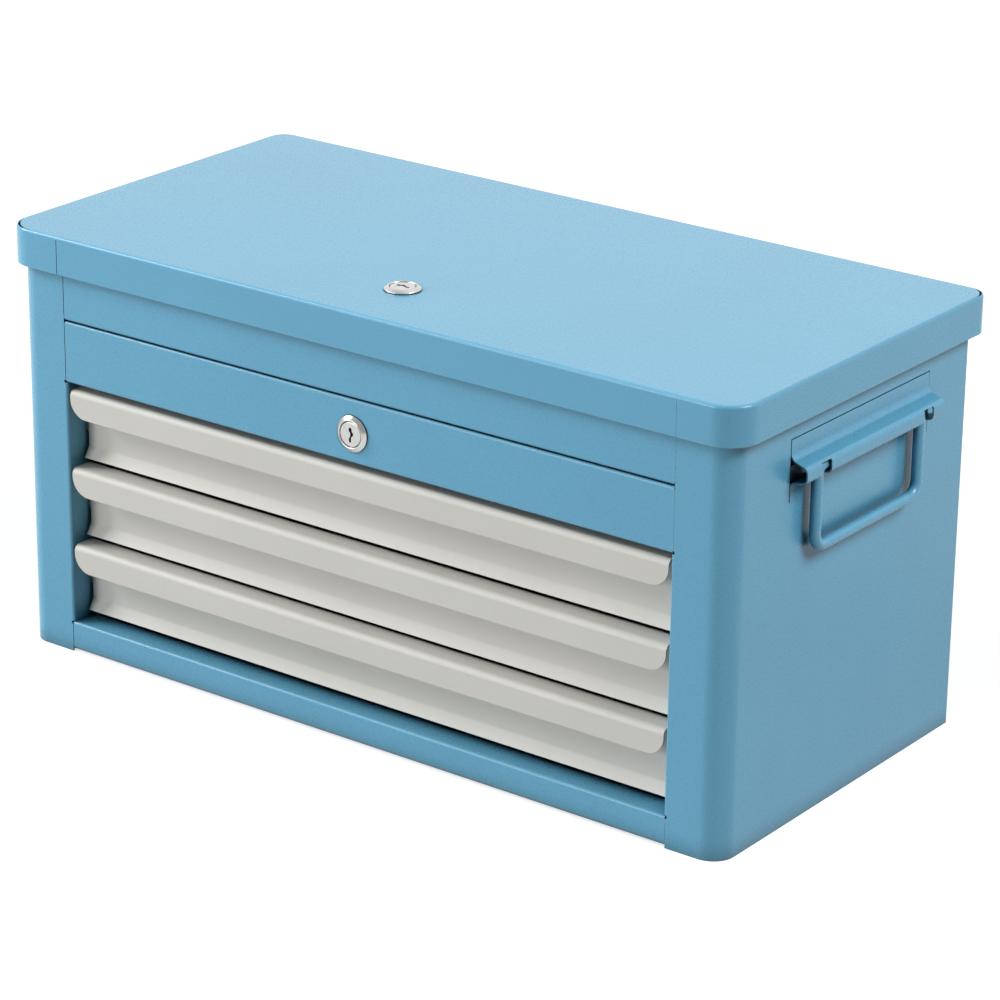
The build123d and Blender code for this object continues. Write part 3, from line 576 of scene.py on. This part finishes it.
def plug_mesh(place):
    """Outline turned round the axis up to the flat face, which is filled up to the edge of the keyway."""
    outline = [
        (0, plug_rear),
        (plug_shank_radius, plug_rear),
        (plug_shank_radius, plug_seat),
        (plug_radius, plug_seat),
    ] + [(plug_radius - inwards * mm, plug_face - down * mm) for inwards, down in plug_rim]
    points = swept_ring(np.array(outline), plug_sides)
    shell = grid_mesh("plug_shell", placed(points, **place), closed_v=True)
    slot = np.array(keyway_corners) * mm
    slot_edge = np.column_stack([slot, np.full(len(slot), plug_face)])
    triangles = tessellate_polygon([points[-1].tolist(), slot_edge.tolist()])
    face_points = placed(np.vstack([points[-1], slot_edge]), **place)
    face = bpy.data.meshes.new("plug_face")
    face.from_pydata(face_points.tolist(), [], triangles)
    return merged("plug", [shell, face])


def keyway_mesh(place):
    """Walls and bottom of the keyway: its outline drawn straight down from the face. They take the second
    material of the plug."""
    slot = np.array(keyway_corners) * mm
    levels = np.array([plug_face, plug_face - keyway_depth])
    wall = np.stack([np.column_stack([slot, np.full(len(slot), level)]) for level in levels])
    walls = grid_mesh("keyway", placed(wall, **place), closed_v=True)
    bottom = bpy.data.meshes.new("keyway_bottom")
    bottom.from_pydata(placed(wall[1], **place).tolist(), [], [tuple(range(len(slot)))])
    keyway = merged("keyway", [walls, bottom])
    keyway.polygons.foreach_set("material_index", np.ones(len(keyway.polygons), int))
    return keyway


def stub_mesh(place):
    """Square stub behind the plug: a square outline drawn back, with its four long edges broken."""
    quarter = np.array([(stub_half - stub_edge, stub_half), (stub_half, stub_half - stub_edge)])
    turns = [np.array([[cos(a), -sin(a)], [sin(a), cos(a)]]) for a in (0, -pi / 2, -pi, -3 * pi / 2)]
    outline = np.vstack([quarter @ turn.T for turn in turns])
    stub_end = plug_rear - stub_length
    rings = [(0.0, plug_rear), (1.0, plug_rear), (1.0, stub_end), (0.0, stub_end)]
    points = np.stack([
        np.column_stack([outline * scale, np.full(len(outline), level)]) for scale, level in rings
    ])
    return grid_mesh("stub", placed(points, **place), closed_v=True)


def dark_recess(name, colour):
    """Unplated zinc inside the keyway, painted near black as the shade of the deep narrow slot: matt, so it
    stays dark beside the chrome.
    """
    material = empty_material(name)
    tree = material.node_tree
    place = add_node(tree, "ShaderNodeTexCoord").outputs["Object"]
    dust = add_node(tree, "ShaderNodeTexNoise", {"Vector": place, "Scale": 1 / dust_spacing, "Detail": 3})
    dull = add_node(tree, "ShaderNodeMapRange", {
        **noise_range, "Value": dust.outputs["Fac"], "To Min": 0.55, "To Max": 0.8,
    })
    skin = add_node(tree, "ShaderNodeBsdfPrincipled", {
        "Base Color": hex_linear(colour), "Metallic": 0.4, "Roughness": dull.outputs[0],
    })
    add_node(tree, "ShaderNodeOutputMaterial", {"Surface": skin.outputs[0]})
    return material


chrome_plate = plated_metal("bright_chrome_plate", "#C2C2C0", roughness=0.21, cloud_spacing=3 * mm,
                            groove_shade_reach=0.8 * mm)
keyway_shade = dark_recess("keyway_painted_shade", "#17181A")
front_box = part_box("front_lock_barrel")
top_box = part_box("top_lock_barrel")
lock_places = {
    "front": {
        "origin": (0, front_box[1].y - shank_length, (front_box[0].z + front_box[1].z) / 2),
        "right": (1, 0, 0), "up": (0, 0, 1), "out": (0, -1, 0),
    },
    "top": {
        "origin": (0, (top_box[0].y + top_box[1].y) / 2, top_box[0].z + shank_length),
        "right": (0, 1, 0), "up": (-1, 0, 0), "out": (0, 0, 1),
    },
}
for kind, holder in (("front", "case"), ("top", "lid")):
    place = lock_places[kind]
    add_piece(f"{kind}_lock_barrel_turned", [barrel_mesh(place)], chrome_plate, holder,
              f"{kind}_lock_barrel")
    plug_meshes = [plug_mesh(place), keyway_mesh(place), stub_mesh(place)]
    plug = add_piece(f"{kind}_lock_plug_cut", plug_meshes, chrome_plate, f"{kind}_lock",
                     f"{kind}_lock_plug")
    plug.data.materials.append(keyway_shade)

# ---------------------------------------------------------------- bail handles
# A 7 mm mild steel rod bent cold at four corners and painted with the body.
# Its ends turn in under the hump of the side panel.
rod_radius = 3.5 * mm
corner_radius = 9.0 * mm
elbow_radius = 4.6 * mm
bail_end = 18.0 * mm
rod_rim = 0.4 * mm
rod_sides = 24
route_step = 0.6 * mm


def rounded_route(corners, radii):
    """Points along straight runs joined by arcs: an arc that touches both runs takes each corner's place."""
    corners = [np.array(corner, float) for corner in corners]
    route = [corners[0]]
    for before, corner, after, radius in zip(corners, corners[1:], corners[2:], radii):
        back = (before - corner) / np.linalg.norm(before - corner)
        ahead = (after - corner) / np.linalg.norm(after - corner)
        half_angle = np.arccos(np.clip(back @ ahead, -1, 1)) / 2
        reach = radius / np.tan(half_angle)
        middle = corner + (back + ahead) / np.linalg.norm(back + ahead) * radius / np.sin(half_angle)
        start = corner + back * reach - middle
        end = corner + ahead * reach - middle
        sweep = np.arccos(np.clip(start @ end / radius ** 2, -1, 1))
        count = max(ceil(sweep * radius / route_step), 6)
        share = np.linspace(0, 1, count + 1)[:, None]
        arc = np.sin((1 - share) * sweep) * start + np.sin(share * sweep) * end
        route.extend(middle + arc / np.sin(sweep))
    route.append(corners[-1])
    return np.array(route)


def rod_mesh(route, radius, normal):
    """A circle carried square to a flat route: its points stand off the route along the normal of the
    route's plane and along the direction across it; both ends are closed by a slightly rounded cap."""
    heading = np.gradient(route, axis=0)
    heading /= np.linalg.norm(heading, axis=1)[:, None]
    normal = np.array(normal, float)
    across = np.cross(normal, heading)
    angle = np.linspace(0, 2 * pi, rod_sides, endpoint=False)
    circle = np.cos(angle)[None, :, None] * normal + np.sin(angle)[None, :, None] * across[:, None, :]
    cap = [(0.0, 0.0), (radius - rod_rim, 0.0), (radius - 0.3 * rod_rim, 0.3 * rod_rim)]
    first = np.stack([route[0] + r * circle[0] + back * heading[0] for r, back in cap])
    last = np.stack([route[-1] + r * circle[-1] - back * heading[-1] for r, back in reversed(cap)])
    body = route[1:-1, None, :] + radius * circle[1:-1]
    first_body = (route[0] + rod_rim * heading[0]) + radius * circle[:1]
    last_body = (route[-1] - rod_rim * heading[-1]) + radius * circle[-1:]
    return grid_mesh("rod", np.concatenate([first, first_body, body, last_body, last]), closed_v=True)


for side, sign in (("right", 1), ("left", -1)):
    low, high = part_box(f"bail_{side}")
    pivot_x = sign * (max(abs(low.x), abs(high.x)) - rod_radius)
    near_y = low.y + rod_radius
    far_y = high.y - rod_radius
    low_z = low.z + rod_radius
    pivot_z = high.z - rod_radius
    corners = [
        (pivot_x, near_y + bail_end, pivot_z),
        (pivot_x, near_y, pivot_z),
        (pivot_x, near_y, low_z),
        (pivot_x, far_y, low_z),
        (pivot_x, far_y, pivot_z),
        (pivot_x, far_y - bail_end, pivot_z),
    ]
    route = rounded_route(corners, [elbow_radius, corner_radius, corner_radius, elbow_radius])
    bent_rod = rod_mesh(route, rod_radius, normal=(1, 0, 0))
    add_piece(f"bail_{side}_bent", [bent_rod], blue_paint, f"bail_{side}", f"bail_{side}")

# ---------------------------------------------------------------- bounds of what is shown
low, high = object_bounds()
